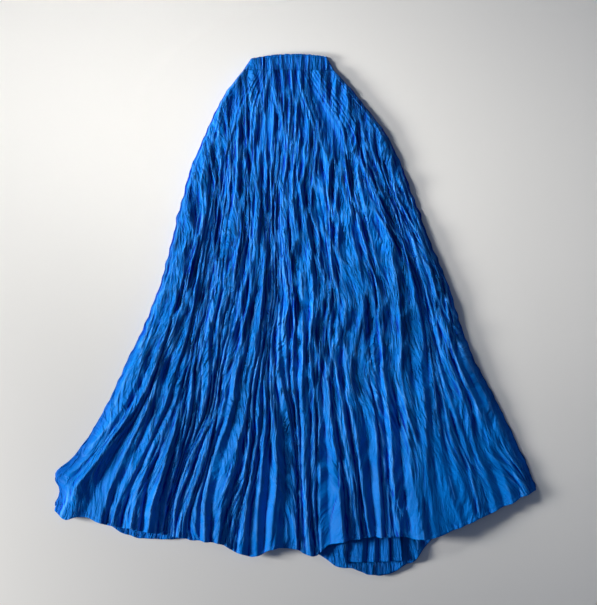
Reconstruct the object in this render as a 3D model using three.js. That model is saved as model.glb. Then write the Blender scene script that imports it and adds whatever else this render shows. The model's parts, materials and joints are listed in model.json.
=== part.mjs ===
// A crinkle-pleated maxi skirt, laid flat on its back panel.
// The front panel lies on the back panel, and both are gathered into a waistband with elastic inside.
// At the hem the back panel is longer, and one fold of it lies between the two panels.
// Millimetres. +Z is up from the surface, +Y runs from the hem to the waist, +X is to the right seen from above.

import * as THREE from "three";

const { clamp, lerp, smoothstep } = THREE.MathUtils;

// Driving dimensions.
const LENGTH = 1000; // from the top of the waistband to the hem, down the middle of the front
const BAND_HEIGHT = 28; // of the waistband, from its top edge to the gathering seam
const SEAM_GAP = 0.3; // between two pieces that are sewn together
const CLOTH = 2; // upright thickness of a pleated wall, which is 1.2 to 2 mm square to its slopes

// The waistband, drawn in by its elastic. Gathers stand on the outer side, and the inner side is plain.
const BAND = {
  topLeft: 79, // out from the middle, along the top edge
  topRight: 74,
  bottomLeft: 95, // out from the middle, along the gathering seam
  bottomRight: 90,
  slant: 4, // how far the top edge drops from its right end to its left end
  bow: 7, // how far the top edge rises above that line in the middle
  wall: 3.1, // casing and elastic together
  gather: 1.3, // height of the highest gather, and the lowest has 0.6 of it
  gathers: 26,
  edgeRound: 1.2, // how far the wall thins at its top edge
};

// The panels' outline, a row for each section across the skirt.
// down: how far below the top of the waistband it crosses the middle. left, right: out to its side edges.
// leftRise, rightRise: how much higher than the middle it meets those edges.
// depth: share of its full depth that each front fold has there.
// tuck: height of the pressed tucks in the back panel.
// corner: how much further out the left edge reaches, where its lowest pleat opens.
const SECTIONS = [
  { down: 28, left: 95, right: 90, leftRise: 0, rightRise: 0, depth: 0.22, tuck: 1.2, corner: 0 },
  { down: 60, left: 121, right: 119, leftRise: 1, rightRise: 1, depth: 0.42, tuck: 2, corner: 0 },
  { down: 100, left: 146, right: 151, leftRise: 1, rightRise: 2, depth: 0.6, tuck: 2.8, corner: 0 },
  { down: 165, left: 174, right: 197, leftRise: 3, rightRise: 5, depth: 0.78, tuck: 3.2, corner: 0 },
  { down: 235, left: 202, right: 228, leftRise: 6, rightRise: 10, depth: 0.9, tuck: 3.2, corner: 0 },
  { down: 320, left: 225, right: 258, leftRise: 10, rightRise: 17, depth: 0.97, tuck: 3.2, corner: 0 },
  { down: 405, left: 245, right: 287, leftRise: 15, rightRise: 26, depth: 1, tuck: 3.2, corner: 0 },
  { down: 490, left: 266, right: 318, leftRise: 20, rightRise: 36, depth: 1, tuck: 3.2, corner: 0 },
  { down: 575, left: 297, right: 342, leftRise: 26, rightRise: 47, depth: 1, tuck: 3.2, corner: 0 },
  { down: 665, left: 335, right: 369, leftRise: 34, rightRise: 60, depth: 1, tuck: 3.2, corner: 0 },
  { down: 760, left: 374, right: 411, leftRise: 43, rightRise: 75, depth: 1, tuck: 3.2, corner: 0 },
  { down: 860, left: 421, right: 452, leftRise: 53, rightRise: 92, depth: 1, tuck: 3.2, corner: 6 },
  { down: 890, left: 436, right: 463, leftRise: 56, rightRise: 97, depth: 1, tuck: 3.2, corner: 13 },
  { down: 908, left: 445, right: 470, leftRise: 58, rightRise: 101, depth: 1, tuck: 3.2, corner: 25 },
  { down: 925, left: 454, right: 477, leftRise: 60, rightRise: 104, depth: 1, tuck: 3.2, corner: 23 },
  { down: 955, left: 465, right: 487, leftRise: 63, rightRise: 110, depth: 1, tuck: 3.2, corner: 4 },
  { down: 1000, left: 478, right: 500, leftRise: 67, rightRise: 118, depth: 1, tuck: 3.2, corner: 0 },
];

// Levels down the skirt at which the folds are placed, as shares of the way from the gathering seam to the hem.
const LEVELS = { seam: 0, yoke: 0.1, hip: 0.2, thigh: 0.35, knee: 0.55, calf: 0.7, shin: 0.85, hem: 1 };

// The front's large folds from left to right, a row for each.
// seam to hem: where its crest crosses that level, in percent of the way across.
// upper, lower: crest above valley in the upper and the lower half, where the fold is wide enough for it.
// shade: share of the way to the next crest that its far slope takes up.
const FOLD_COLUMNS = ["seam", "yoke", "hip", "thigh", "knee", "calf", "shin", "hem", "upper", "lower", "shade"];
const FOLDS = [
  [1, 0.6, 0.8, 1.8, 2.6, 4.6, 1, 0.5, 5, 7, 0.5],
  [2.4, 1.3, 2.2, 5.8, 7.2, 7.8, 4.3, 1.5, 8, 14, 0.55],
  [4, 2.6, 8.3, 10.2, 9.2, 9.6, 9.4, 9.9, 9, 9, 0.5],
  [6, 6.1, 11.7, 12.4, 13.5, 14.2, 13, 11.7, 8, 12, 0.4],
  [8, 7.4, 13.2, 14.3, 15, 16.6, 15.2, 16.1, 4, 10, 0.45],
  [10, 8.8, 14.6, 15.3, 15.9, 18.2, 18.9, 19.5, 3, 15, 0.45],
  [12, 10.5, 16, 16.4, 16.9, 20.6, 21.6, 22.4, 7, 15, 0.5],
  [14, 12, 17.4, 17.9, 18.4, 22.2, 22.3, 22.9, 6, 8, 0.4],
  [16.2, 14, 19, 20.8, 20.9, 24.5, 22.9, 23.4, 8, 9, 0.5],
  [18.4, 17.2, 22.5, 22.5, 23.1, 25.6, 23.4, 23.9, 10, 7, 0.5],
  [20.8, 20.6, 25.5, 26.6, 25.4, 26.7, 24, 24.4, 11, 12, 0.5],
  [23.2, 22.6, 27, 28.4, 26.8, 27.7, 27.6, 26, 4, 12, 0.5],
  [25.6, 24.6, 28.6, 30.4, 28.4, 29.4, 28.4, 28.9, 10, 9, 0.5],
  [28.2, 27.2, 31.6, 33.2, 31.3, 31.6, 29.4, 31.4, 9, 13, 0.45],
  [31, 32.4, 35.2, 36.4, 35.6, 35.7, 34, 34, 9, 14, 0.5],
  [33.4, 34.6, 36.4, 37.5, 37.2, 37.4, 37.3, 36.3, 4, 8, 0.5],
  [35.6, 36.6, 37.6, 38.6, 38.6, 39.2, 39, 38.7, 8, 13, 0.5],
  [37.8, 38.2, 39.6, 40.2, 39.8, 40.8, 41.4, 42, 6, 10, 0.5],
  [39.8, 39.5, 41, 41.3, 41, 42.9, 45, 44.8, 5, 16, 0.5],
  [41.8, 40.8, 42.2, 42.3, 42.4, 46.5, 49.5, 50.2, 7, 13, 0.5],
  [43.8, 42.4, 43.5, 43.4, 45, 47.9, 50, 50.7, 8, 7, 0.5],
  [46.2, 44.8, 45.4, 44.6, 47.4, 49.2, 50.5, 51.2, 11, 9, 0.5],
  [49, 48.4, 47.8, 49.2, 50.4, 51.1, 51.6, 53.2, 9, 13, 0.55],
  [52.2, 53.2, 50.8, 54.1, 53.2, 54.1, 53.8, 54.6, 13, 11, 0.5],
  [55.4, 58.2, 54.9, 57, 56.4, 55.5, 55.1, 55.4, 9, 4, 0.4],
  [58.8, 61.2, 58.8, 60, 59.6, 58.7, 59.3, 60, 11, 19, 0.35],
  [62, 63.8, 60.9, 62.4, 61.4, 61.6, 62.8, 63.3, 8, 9, 0.5],
  [64.8, 67.9, 65.4, 64.9, 64.3, 64.2, 64.9, 65.4, 11, 7, 0.5],
  [67, 74.1, 73.4, 71.2, 70.4, 70, 68.7, 67.8, 14, 18, 0.45],
  [70, 77, 76.2, 75, 72.8, 71.6, 70.3, 69.6, 10, 5, 0.5],
  [73.4, 79.6, 78.8, 78.4, 75.3, 74, 72.3, 71.5, 9, 13, 0.5],
  [77, 82.2, 81.7, 84.6, 82, 78.9, 76.3, 76.5, 12, 16, 0.5],
  [80.6, 85, 86, 88.2, 88, 84.3, 79.9, 78.9, 12, 15, 0.5],
  [84, 88, 88.6, 89.8, 89.4, 87, 83.7, 84, 7, 12, 0.45],
  [87, 90.6, 90.4, 91.2, 90.4, 88.5, 86.8, 87.3, 5, 8, 0.5],
  [90, 92.8, 92, 92.5, 91.3, 89.9, 89.4, 89.7, 6, 14, 0.35],
  [92.8, 94.8, 93.6, 94, 92.4, 93.4, 91.4, 91.7, 7, 10, 0.5],
  [95.4, 96.7, 96.8, 96.3, 95.3, 95.6, 94.9, 95, 9, 12, 0.5],
  [97.8, 98.4, 98.8, 98.6, 98.3, 98.3, 98.2, 98.4, 4, 6, 0.5],
].map((row) => Object.fromEntries(FOLD_COLUMNS.map((name, i) => [name, row[i]])));

// How far each panel's hem hangs below the plain arc, at shares of the way across.
const HEM = [
  { across: 0, front: -9, back: -20 },
  { across: 0.025, front: 2, back: -10 },
  { across: 0.05, front: -12, back: -22 },
  { across: 0.1, front: -8, back: -12 },
  { across: 0.15, front: -9, back: 6 },
  { across: 0.22, front: -9, back: 2 },
  { across: 0.3, front: -5, back: -9 },
  { across: 0.35, front: -3, back: -9 },
  { across: 0.38, front: 12, back: -3 },
  { across: 0.42, front: 16, back: 0 },
  { across: 0.45, front: 2, back: -4 },
  { across: 0.5, front: 1, back: -6 },
  { across: 0.54, front: 16, back: 8 },
  { across: 0.57, front: -6, back: 29 },
  { across: 0.585, front: -9, back: 40 },
  { across: 0.62, front: -12, back: 47 },
  { across: 0.65, front: -13, back: 63 },
  { across: 0.68, front: -10, back: 69 },
  { across: 0.71, front: -4, back: 67 },
  { across: 0.73, front: 0, back: 58 },
  { across: 0.75, front: 8, back: 53 },
  { across: 0.77, front: 14, back: 32 },
  { across: 0.8, front: 14, back: 8 },
  { across: 0.86, front: 9, back: -2 },
  { across: 0.93, front: 3, back: -6 },
  { across: 1, front: 0, back: -6 },
];

// How the front's folds are formed.
const FOLD = {
  steepest: 1.25, // most height for each millimetre of a slope's width, so that crowded folds are low ones
  deepens: { from: 0.3, to: 0.65 }, // shares of the length between which the upper depth turns to the lower one
  unevenDepth: 0.15, // how much a fold's depth varies on its way down
  depthWaves: 1.7,
  crease: 0.2, // height of the lesser crease on each slope, as a share of the fold's depth
  creaseWaves: 1.1,
};
const CORNER_WIDTH = 0.06; // share of the width over which the left corner's reach fades
const HEM_PULL = 4; // power with which the hem's ups and downs fade towards the waist
const SIDE_TURN = 0.045; // share of the width over which the tucks fade, and the front comes down, at each side

// The back panel's pressed tucks. Each stands up between two feet, and the cloth lies flat from one to the next.
const BACK = {
  tucks: 24,
  bunching: 0.14, // how strongly the tucks crowd towards the waistband's ends at the seam
  bunchingEnds: 0.28, // share of the length by which they have spread out evenly
  foot: 0.3, // from a tuck's crest to its foot, as a share of the gap between tucks
  margin: 0.05, // share of the width that has no tucks, at each side
  uneven: 0.3, // how far a tuck sits off its even place, as a share of the gap
  lowest: 0.5, // least height along a tuck, as a share of its full height
  heightWaves: 1.4,
};

// The fold of the back panel that shows below the front's hem, lying on the back panel.
const HEM_FOLD = {
  left: 0.608, // shares of the way across, at its hem
  right: 0.722,
  topLeft: 0.615,
  topRight: 0.71,
  start: 905, // down from the top of the waistband
  endLeft: 1032, // its hem, at its left and right edges
  endRight: 1047,
  pleats: 4,
  depth: 3, // of its pleats, which flatten to half of that at the top
  wall: 1.6,
  rows: 4,
};
const LIFT = { from: 0.55, to: 0.78, ramp: 0.04, start: 0.84, end: 0.9 }; // where the front lies over that fold

// A value between -1 and 1 that looks random and is the same every time.
function uneven(index, salt) {
  const turn = index * 0.618034 + salt * 0.754878;
  return 2 * (turn - Math.floor(turn)) - 1;
}

// A column of a table read between its rows.
function between(table, key, column, at) {
  const next = Math.max(1, table.findIndex((row) => row[key] >= at));
  const [a, b] = [table[next - 1], table[next]];
  return lerp(a[column], b[column], (at - a[key]) / (b[key] - a[key]));
}

// The share of the whole length at which a section lies.
const along = (section) => (section.down - BAND_HEIGHT) / (LENGTH - BAND_HEIGHT);

// A place on the laid skirt, seen from above. panel is "front" or "back".
function place(section, across, panel) {
  const reach = section.corner * (1 - Math.min(1, across / CORNER_WIDTH)) ** 2;
  const x = lerp(-section.left, section.right, across) - reach;
  const rise = across < 0.5 ? section.leftRise : section.rightRise;
  const drop = between(HEM, "across", panel, across) * along(section) ** HEM_PULL;
  return new THREE.Vector2(x, -section.down + rise * (2 * across - 1) ** 2 - drop);
}

// The back's tucks crowd towards the waistband's ends: turns a tuck's own share into its share of the width.
function spread(share, v) {
  const crowd = BACK.bunching * (1 - smoothstep(v, 0, BACK.bunchingEnds));
  return share - crowd * Math.sin(2 * Math.PI * share);
}

// A closed wall from two grids of points with the same rows and columns, the upper side and the lower side.
function wall(upper, lower) {
  const rows = upper.length;
  const columns = upper[0].length;
  const points = [...upper.flat(), ...lower.flat()];
  const top = (r, c) => r * columns + c;
  const bottom = (r, c) => rows * columns + top(r, c);
  const index = [];
  const quad = (a, b, c, d) => index.push(a, b, c, a, c, d);
  for (let r = 0; r < rows - 1; r++) {
    for (let c = 0; c < columns - 1; c++) {
      quad(top(r, c), top(r + 1, c), top(r + 1, c + 1), top(r, c + 1));
      quad(bottom(r, c + 1), bottom(r + 1, c + 1), bottom(r + 1, c), bottom(r, c));
    }
    quad(top(r, 0), bottom(r, 0), bottom(r + 1, 0), top(r + 1, 0));
    quad(top(r + 1, columns - 1), bottom(r + 1, columns - 1), bottom(r, columns - 1), top(r, columns - 1));
  }
  for (let c = 0; c < columns - 1; c++) {
    quad(top(0, c + 1), bottom(0, c + 1), bottom(0, c), top(0, c));
    quad(top(rows - 1, c), bottom(rows - 1, c), bottom(rows - 1, c + 1), top(rows - 1, c + 1));
  }
  const geometry = new THREE.BufferGeometry();
  geometry.setAttribute("position", new THREE.Float32BufferAttribute(points.flatMap((p) => p.toArray()), 3));
  geometry.setIndex(index);
  geometry.computeVertexNormals();
  return geometry;
}

// A grid moved up or down by a height.
const raised = (grid, height) => grid.map((row) => row.map((p) => new THREE.Vector3(p.x, p.y, p.z + height)));

// How much of a tuck's height is left near the side edges.
const sideFade = (across) => smoothstep(Math.min(across, 1 - across), 0, SIDE_TURN);

// The height of the front's valleys on its lower side: over the back panel's tucks, and lower at the side edges.
function frontFloor(section, across) {
  const overTucks = CLOTH + SEAM_GAP + section.tuck * sideFade(across);
  const overFold = smoothstep(across, LIFT.from, LIFT.from + LIFT.ramp)
    * (1 - smoothstep(across, LIFT.to - LIFT.ramp, LIFT.to))
    * smoothstep(along(section), LIFT.start, LIFT.end);
  return overTucks + (HEM_FOLD.depth + HEM_FOLD.wall + SEAM_GAP) * overFold;
}

// A slow wave down the length, between -1 and 1, that starts at a different point for each fold.
const wave = (waves, v, i, salt) => Math.sin(2 * Math.PI * (waves * v + uneven(i, salt)));

// Where the crest of a front fold crosses a section, as a share of the way across, on a smooth line.
const LEVEL_NAMES = Object.keys(LEVELS);
function crestAt(fold, v) {
  const next = Math.max(1, LEVEL_NAMES.findIndex((name) => LEVELS[name] >= v));
  const at = (i) => LEVEL_NAMES[clamp(i, 0, LEVEL_NAMES.length - 1)];
  const [before, from, to, after] = [at(next - 2), at(next - 1), at(next), at(next + 1)];
  const slope = (a, b) => (a === b ? 0 : (fold[b] - fold[a]) / (LEVELS[b] - LEVELS[a]));
  const span = LEVELS[to] - LEVELS[from];
  const t = (v - LEVELS[from]) / span;
  const straight = lerp(fold[from], fold[to], t);
  const bend = t * (1 - t) * span;
  const bendFrom = (slope(before, to) - slope(from, to)) * (1 - t);
  const bendTo = (slope(from, after) - slope(from, to)) * t;
  return (straight + bend * (bendFrom - bendTo)) / 100;
}

// One section of the front panel's lower side. Each fold gives a valley, a lesser crease on the slope up to
// its crest, the crest, and a lesser crease on the slope beyond it.
function frontSection(section) {
  const v = along(section);
  const crests = FOLDS.map((fold) => crestAt(fold, v));
  const valleys = [
    crests[0] / 2,
    ...FOLDS.slice(1).map((_, i) => lerp(crests[i], crests[i + 1], FOLDS[i].shade)),
    (crests.at(-1) + 1) / 2,
  ];
  const width = section.left + section.right;
  const stations = [{ across: 0, height: 0 }];
  FOLDS.forEach((fold, i) => {
    const [before, crest, after] = [valleys[i], crests[i], valleys[i + 1]];
    const room = FOLD.steepest * width * Math.min(crest - before, after - crest);
    const full = lerp(fold.upper, fold.lower, smoothstep(v, FOLD.deepens.from, FOLD.deepens.to)) * section.depth;
    const height = Math.min(room, full * (1 + FOLD.unevenDepth * wave(FOLD.depthWaves, v, i, 3)));
    const crease = FOLD.crease * height * wave(FOLD.creaseWaves, v, i, 4);
    stations.push(
      { across: before, height: 0 },
      { across: (before + crest) / 2, height: height / 2 + crease },
      { across: crest, height },
      { across: (crest + after) / 2, height: height / 2 - crease },
    );
  });
  stations.push({ across: valleys.at(-1), height: 0 }, { across: 1, height: 0 });
  return stations.map(({ across, height }) => {
    const at = place(section, across, "front");
    return new THREE.Vector3(at.x, at.y, frontFloor(section, across) + height);
  });
}

function frontPanel() {
  const lower = SECTIONS.map(frontSection);
  return wall(raised(lower, CLOTH), lower);
}

// One section of the back panel's lower side: flat on the surface, with a low tuck standing up from foot to foot.
function backSection(section) {
  const v = along(section);
  const pitch = (1 - 2 * BACK.margin) / BACK.tucks;
  const foot = BACK.foot * pitch;
  const stations = [{ share: 0, height: 0 }];
  for (let i = 0; i < BACK.tucks; i++) {
    const crest = BACK.margin + pitch * (i + 0.5 + BACK.uneven * uneven(i, 5) * Math.cos(Math.PI * v));
    const height = section.tuck * lerp(BACK.lowest, 1, 0.5 + 0.5 * wave(BACK.heightWaves, v, i, 6));
    stations.push({ share: crest - foot, height: 0 }, { share: crest, height }, { share: crest + foot, height: 0 });
  }
  stations.push({ share: 1, height: 0 });
  return stations.map(({ share, height }) => {
    const across = spread(share, v);
    const at = place(section, across, "back");
    return new THREE.Vector3(at.x, at.y, height * sideFade(across));
  });
}

function backPanel() {
  const lower = SECTIONS.map(backSection);
  return wall(raised(lower, CLOTH), lower);
}

// A fold of the back panel between the panels, with shallow pleats and a hem of its own.
function hemFold() {
  const last = SECTIONS.at(-1);
  const floor = CLOTH + last.tuck + SEAM_GAP;
  const columns = 2 * HEM_FOLD.pleats + 1;
  const lower = [];
  for (let r = 0; r < HEM_FOLD.rows; r++) {
    const t = r / (HEM_FOLD.rows - 1);
    const row = [];
    for (let c = 0; c < columns; c++) {
      const u = c / (columns - 1);
      const across = lerp(
        lerp(HEM_FOLD.topLeft, HEM_FOLD.topRight, u),
        lerp(HEM_FOLD.left, HEM_FOLD.right, u),
        t,
      );
      const down = lerp(HEM_FOLD.start, lerp(HEM_FOLD.endLeft, HEM_FOLD.endRight, u), t);
      const x = lerp(-last.left, last.right, across);
      const y = -down + last.rightRise * (2 * across - 1) ** 2;
      row.push(new THREE.Vector3(x, y, floor + (c % 2 ? HEM_FOLD.depth : 0) * lerp(0.5, 1, t)));
    }
    lower.push(row);
  }
  return wall(raised(lower, HEM_FOLD.wall), lower);
}

// One side of the waistband. outward is 1 for the front, whose gathers stand up, and -1 for the back, which rests.
function waistband(outward) {
  const columns = 2 * BAND.gathers + 1;
  const heights = [0, 0.12, 0.5, 1]; // shares of the way down from the top edge
  const inside = BAND.wall + (outward > 0 ? SEAM_GAP : 0);
  const inner = [];
  const outer = [];
  for (const t of heights) {
    const innerRow = [];
    const outerRow = [];
    for (let c = 0; c < columns; c++) {
      const u = c / (columns - 1);
      const x = lerp(lerp(-BAND.topLeft, BAND.topRight, u), lerp(-BAND.bottomLeft, BAND.bottomRight, u), t);
      const top = BAND.bow * (1 - (2 * u - 1) ** 2) - BAND.slant * (1 - u);
      const y = lerp(top, -(BAND_HEIGHT - SEAM_GAP), t);
      const round = t === 0 ? BAND.edgeRound : 0;
      const gather = c % 2 ? BAND.gather * (0.8 + 0.2 * uneven(c, 7)) : 0;
      innerRow.push(new THREE.Vector3(x, y, inside));
      outerRow.push(new THREE.Vector3(x, y, outward > 0 ? inside + BAND.wall + gather - round : 0));
    }
    inner.push(innerRow);
    outer.push(outerRow);
  }
  return outward > 0 ? wall(outer, inner) : wall(inner, outer);
}

const cloth = (color) => new THREE.MeshStandardMaterial({ color, roughness: 0.5, metalness: 0 });
const MATERIALS = { front: cloth(0x0b55c4), back: cloth(0x0a49ab), band: cloth(0x0c4fb8) };

function piece(name, geometry, material) {
  const mesh = new THREE.Mesh(geometry, material);
  mesh.name = name;
  return mesh;
}

const skirt = new THREE.Group();
skirt.name = "pleated_maxi_skirt";
skirt.add(
  piece("front_panel", frontPanel(), MATERIALS.front),
  piece("back_panel", backPanel(), MATERIALS.back),
  piece("back_hem_fold", hemFold(), MATERIALS.back),
  piece("waistband_front", waistband(1), MATERIALS.band),
  piece("waistband_back", waistband(-1), MATERIALS.band),
);

// The origin is under the middle of the laid skirt, on the surface that it lies on.
const box = new THREE.Box3().setFromObject(skirt);
skirt.position.set(-(box.min.x + box.max.x) / 2, -(box.min.y + box.max.y) / 2, -box.min.z);

export default skirt;
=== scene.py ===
# A crinkle-pleated maxi skirt, laid flat and seen from straight above.
# Lengths in the tables are millimetres. +Y runs from the hem to the waist and +Z is up from the surface.

import json
import math

import bmesh
import bpy
import numpy as np
from bpy.props import FloatProperty, FloatVectorProperty, IntProperty, PointerProperty
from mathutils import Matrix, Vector, noise

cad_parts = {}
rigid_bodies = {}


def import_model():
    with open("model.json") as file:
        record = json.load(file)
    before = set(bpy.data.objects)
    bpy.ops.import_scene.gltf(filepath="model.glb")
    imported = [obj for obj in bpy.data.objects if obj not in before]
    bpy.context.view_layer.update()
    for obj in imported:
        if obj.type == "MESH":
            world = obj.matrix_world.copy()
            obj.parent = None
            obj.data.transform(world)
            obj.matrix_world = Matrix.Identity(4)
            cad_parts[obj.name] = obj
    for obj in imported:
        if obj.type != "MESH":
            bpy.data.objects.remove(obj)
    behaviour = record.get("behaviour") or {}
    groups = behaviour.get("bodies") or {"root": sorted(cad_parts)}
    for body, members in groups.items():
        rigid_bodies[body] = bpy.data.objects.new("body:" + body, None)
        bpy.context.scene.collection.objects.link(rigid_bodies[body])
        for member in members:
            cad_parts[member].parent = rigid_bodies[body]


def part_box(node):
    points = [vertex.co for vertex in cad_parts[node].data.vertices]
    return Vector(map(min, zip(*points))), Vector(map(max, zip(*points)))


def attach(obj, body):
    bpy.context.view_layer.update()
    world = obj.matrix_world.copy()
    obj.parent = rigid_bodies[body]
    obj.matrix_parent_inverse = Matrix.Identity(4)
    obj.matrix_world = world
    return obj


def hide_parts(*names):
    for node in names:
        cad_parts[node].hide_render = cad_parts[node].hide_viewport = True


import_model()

bl_info = {
    "name": "Pleated maxi skirt",
    "version": (1, 0, 0),
    "blender": (4, 2, 0),
    "location": "View3D > Sidebar > Skirt",
    "description": "Builds a crinkle-pleated maxi skirt on its solid frame, with its stage",
    "category": "Object",
}

MM = 0.001

LENGTH = 1000  # from the top of the waistband to the hem
SEAM_DOWN = 28  # of the gathering seam below the top of the waistband

# The panels' outline at levels down the skirt, as in the solids.
SECTIONS = {
    "down": (28, 60, 100, 165, 235, 320, 405, 490, 575, 665, 760, 860, 890, 908, 925, 955, 1000),
    "left": (95, 121, 146, 174, 202, 225, 245, 266, 297, 335, 374, 421, 436, 445, 454, 465, 478),
    "right": (90, 119, 151, 197, 228, 258, 287, 318, 342, 369, 411, 452, 463, 470, 477, 487, 500),
    "left_rise": (0, 1, 1, 3, 6, 10, 15, 20, 26, 34, 43, 53, 56, 58, 60, 63, 67),
    "right_rise": (0, 1, 2, 5, 10, 17, 26, 36, 47, 60, 75, 92, 97, 101, 104, 110, 118),
    "depth": (0.22, 0.42, 0.6, 0.78, 0.9, 0.97, 1, 1, 1, 1, 1, 1, 1, 1, 1, 1, 1),
    "tuck": (1.2, 2, 2.8, 3.2, 3.2, 3.2, 3.2, 3.2, 3.2, 3.2, 3.2, 3.2, 3.2, 3.2, 3.2, 3.2, 3.2),
    "corner": (0, 0, 0, 0, 0, 0, 0, 0, 0, 0, 0, 6, 13, 25, 23, 4, 0),
}

# How far each panel's hem hangs below the plain arc, at shares of the way across.
HEM = {
    "across": (
        0, 0.025, 0.05, 0.1, 0.15, 0.22, 0.3, 0.35, 0.38, 0.42, 0.45, 0.5, 0.54,
        0.57, 0.585, 0.62, 0.65, 0.68, 0.71, 0.73, 0.75, 0.77, 0.8, 0.86, 0.93, 1,
    ),
    "front": (
        -9, 2, -12, -8, -9, -9, -5, -3, 12, 16, 2, 1, 16,
        -6, -9, -12, -13, -10, -4, 0, 8, 14, 14, 9, 3, 0,
    ),
    "back": (
        -20, -10, -22, -12, 6, 2, -9, -9, -3, 0, -4, -6, 8,
        29, 40, 47, 63, 69, 67, 58, 53, 32, 8, -2, -6, -6,
    ),
}
CORNER_WIDTH = 0.06  # share of the width over which the left corner's reach fades
HEM_PULL = 4  # power with which the hem's ups and downs fade towards the waist

# Small ups and downs of the outline: their height, how close they come along the hem and along the sides,
# and the shares down the panel between which they set in.
RUFFLE = {"height": 3.4, "hem": 48, "sides": 58, "hem_sets_in": (0.96, 1), "sides_set_in": (0, 0.04)}

# The shift from the skirt's own frame to the shared one, from the solids' box.
FRONT_LOW, FRONT_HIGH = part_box("front_panel")
SHIFT_X = FRONT_LOW.x / MM + SECTIONS["left"][-1]
SHIFT_Y = FRONT_HIGH.y / MM + SEAM_DOWN

# Levels at which the folds are placed, as shares of the way from the gathering seam to the hem.
LEVELS = (0, 0.1, 0.2, 0.35, 0.55, 0.7, 0.85, 1)

# The front's large folds. Where each crest crosses the levels, in percent of the way across, then its
# height in the upper and in the lower half, then its shaded slope's share of the way to the next crest.
FOLDS = (
    (1, 0.6, 0.8, 1.8, 2.6, 4.6, 1, 0.5, 2, 7, 0.5),
    (2.4, 1.3, 2.2, 5.8, 7.2, 7.8, 4.3, 1.5, 4, 14, 0.55),
    (4, 2.6, 8.3, 10.2, 9.2, 9.6, 9.4, 9.9, 7, 9, 0.5),
    (6, 6.1, 11.7, 12.4, 13.5, 14.2, 13, 11.7, 8, 12, 0.4),
    (8, 7.4, 13.2, 14.3, 15, 16.6, 15.2, 16.1, 4, 10, 0.45),
    (10, 8.8, 14.6, 15.3, 15.9, 18.2, 18.9, 19.5, 3, 15, 0.45),
    (12, 10.5, 16, 16.4, 16.9, 20.6, 21.6, 22.4, 7, 15, 0.5),
    (14, 12, 17.4, 17.9, 18.4, 22.2, 22.3, 22.9, 6, 8, 0.4),
    (16.2, 14, 19, 20.8, 20.9, 24.5, 22.9, 23.4, 8, 9, 0.5),
    (18.4, 17.2, 22.5, 22.5, 23.1, 25.6, 23.4, 23.9, 10, 7, 0.5),
    (20.8, 20.6, 25.5, 26.6, 25.4, 26.7, 24, 24.4, 11, 12, 0.5),
    (23.2, 22.6, 27, 28.4, 26.8, 27.7, 27.6, 26, 4, 12, 0.5),
    (25.6, 24.6, 28.6, 30.4, 28.4, 29.4, 28.4, 28.9, 10, 9, 0.5),
    (28.2, 27.2, 31.6, 33.2, 31.3, 31.6, 29.4, 31.4, 9, 13, 0.45),
    (31, 32.4, 35.2, 36.4, 35.6, 35.7, 34, 34, 9, 14, 0.5),
    (33.4, 34.6, 36.4, 37.5, 37.2, 37.4, 37.3, 36.3, 4, 8, 0.5),
    (35.6, 36.6, 37.6, 38.6, 38.6, 39.2, 39, 38.7, 8, 13, 0.5),
    (37.8, 38.2, 39.6, 40.2, 39.8, 40.8, 41.4, 42, 6, 10, 0.5),
    (39.8, 39.5, 41, 41.3, 41, 42.9, 45, 44.8, 5, 16, 0.5),
    (41.8, 40.8, 42.2, 42.3, 42.4, 46.5, 49.5, 50.2, 7, 13, 0.5),
    (43.8, 42.4, 43.5, 43.4, 45, 47.9, 50, 50.7, 8, 7, 0.5),
    (46.2, 44.8, 45.4, 44.6, 47.4, 49.2, 50.5, 51.2, 11, 9, 0.5),
    (49, 48.4, 47.8, 49.2, 50.4, 51.1, 51.6, 53.2, 9, 13, 0.55),
    (52.2, 53.2, 50.8, 54.1, 53.2, 54.1, 53.8, 54.6, 13, 11, 0.5),
    (55.4, 58.2, 54.9, 57, 56.4, 55.5, 55.1, 55.4, 9, 4, 0.4),
    (58.8, 61.2, 58.8, 60, 59.6, 58.7, 59.3, 60, 11, 19, 0.35),
    (62, 63.8, 60.9, 62.4, 61.4, 61.6, 62.8, 63.3, 8, 9, 0.5),
    (64.8, 67.9, 65.4, 64.9, 64.3, 64.2, 64.9, 65.4, 11, 7, 0.5),
    (67, 74.1, 73.4, 71.2, 70.4, 70, 68.7, 67.8, 14, 18, 0.45),
    (70, 77, 76.2, 75, 72.8, 71.6, 70.3, 69.6, 10, 5, 0.5),
    (73.4, 79.6, 78.8, 78.4, 75.3, 74, 72.3, 71.5, 9, 13, 0.5),
    (77, 82.2, 81.7, 84.6, 82, 78.9, 76.3, 76.5, 12, 16, 0.5),
    (80.6, 85, 86, 88.2, 88, 84.3, 79.9, 78.9, 12, 15, 0.5),
    (84, 88, 88.6, 89.8, 89.4, 87, 83.7, 84, 7, 12, 0.45),
    (87, 90.6, 90.4, 91.2, 90.4, 88.5, 86.8, 87.3, 5, 8, 0.5),
    (90, 92.8, 92, 92.5, 91.3, 89.9, 89.4, 89.7, 6, 14, 0.35),
    (92.8, 94.8, 93.6, 94, 92.4, 93.4, 91.4, 91.7, 7, 10, 0.5),
    (95.4, 96.7, 96.8, 96.3, 95.3, 95.6, 94.9, 95, 9, 12, 0.5),
    (97.8, 98.4, 98.8, 98.6, 98.3, 98.3, 98.2, 98.4, 4, 6, 0.5),
)
UPPER, LOWER, SHADE = 8, 9, 10  # columns of FOLDS after the levels
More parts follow.
